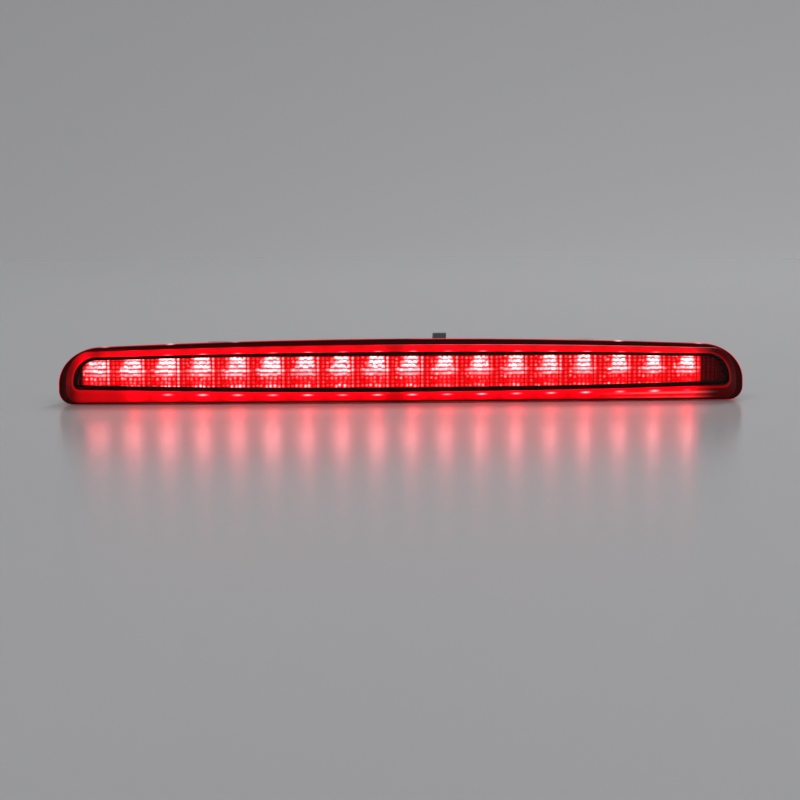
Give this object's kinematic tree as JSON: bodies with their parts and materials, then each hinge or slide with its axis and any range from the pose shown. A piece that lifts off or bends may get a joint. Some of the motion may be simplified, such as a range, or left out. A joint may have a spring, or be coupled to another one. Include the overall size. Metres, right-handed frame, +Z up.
{
  "type": "third brake light",
  "caption": "Slim red LED high-mount stop lamp that clips into a tailgate slot, with gasketed housing, spring clips and rear connector.",
  "frame": {"origin": "below the middle of the lamp's box, on the plane of its lower edge", "axes": "+X to the right seen from behind the vehicle, along the lamp; +Y into the vehicle, from the lens to the connector; +Z up"},
  "size_m": [0.35, 0.0604, 0.0325],
  "materials": {
    "red_lens": "glossy transparent red acrylic, lit from inside",
    "clear_optic": "clear acrylic with moulded pillow optics",
    "bezel_black": "fine satin black",
    "reflector_aluminium": "vacuum-metallised",
    "board_white": "white solder mask",
    "led_red": "moulded dome in a pale package",
    "chip_black": "moulded",
    "zinc_screw": "zinc-plated",
    "black_plastic": "fine moulded grain",
    "foam_black": "closed-cell foam",
    "membrane_white": "porous film",
    "vent_grey": "satin",
    "connector_grey": "satin glass-filled plastic",
    "seal_rubber": "silicone",
    "tinned_brass": "tin-plated",
    "spring_steel": "blank spring steel"
  },
  "bodies": {
    "lamp": {"outer_lens": "red_lens", "inner_bezel": "bezel_black", "optic_plate": "clear_optic", "reflector": "reflector_aluminium", "circuit_board": "board_white", "led_01": "led_red", "led_02": "led_red", "led_03": "led_red", "led_04": "led_red", "led_05": "led_red", "led_06": "led_red", "led_07": "led_red", "led_08": "led_red", "led_09": "led_red", "led_10": "led_red", "led_11": "led_red", "led_12": "led_red", "led_13": "led_red", "led_14": "led_red", "led_15": "led_red", "led_16": "led_red", "led_17": "led_red", "led_18": "led_red", "resistor_1": "chip_black", "resistor_2": "chip_black", "resistor_3": "chip_black", "resistor_4": "chip_black", "resistor_5": "chip_black", "resistor_6": "chip_black", "reverse_polarity_diode": "chip_black", "board_screw_left": "zinc_screw", "board_screw_right": "zinc_screw", "housing": "black_plastic", "sealing_gasket": "foam_black", "vent_membrane": "membrane_white", "vent_cap": "vent_grey", "connector_header": "connector_grey", "connector_seal": "seal_rubber", "terminal_pin_1": "tinned_brass", "terminal_pin_2": "tinned_brass", "left_clip_base": "spring_steel", "right_clip_base": "spring_steel"},
    "left_clip_leaf": {"left_clip_leaf": "spring_steel"},
    "right_clip_leaf": {"right_clip_leaf": "spring_steel"}
  },
  "joints": [
    {"name": "left_clip_flex", "type": "hinge", "parent": "lamp", "child": "left_clip_leaf", "pos_m": [-0.095, 0.00275, 0.0279], "axis": [1, 0, 0], "range_deg": [0, 8], "stiffness_Nm_per_rad": 0.35},
    {"name": "right_clip_flex", "type": "hinge", "parent": "lamp", "child": "right_clip_leaf", "pos_m": [0.095, 0.00275, 0.0279], "axis": [1, 0, 0], "range_deg": [0, 8], "stiffness_Nm_per_rad": 0.35}
  ]
}
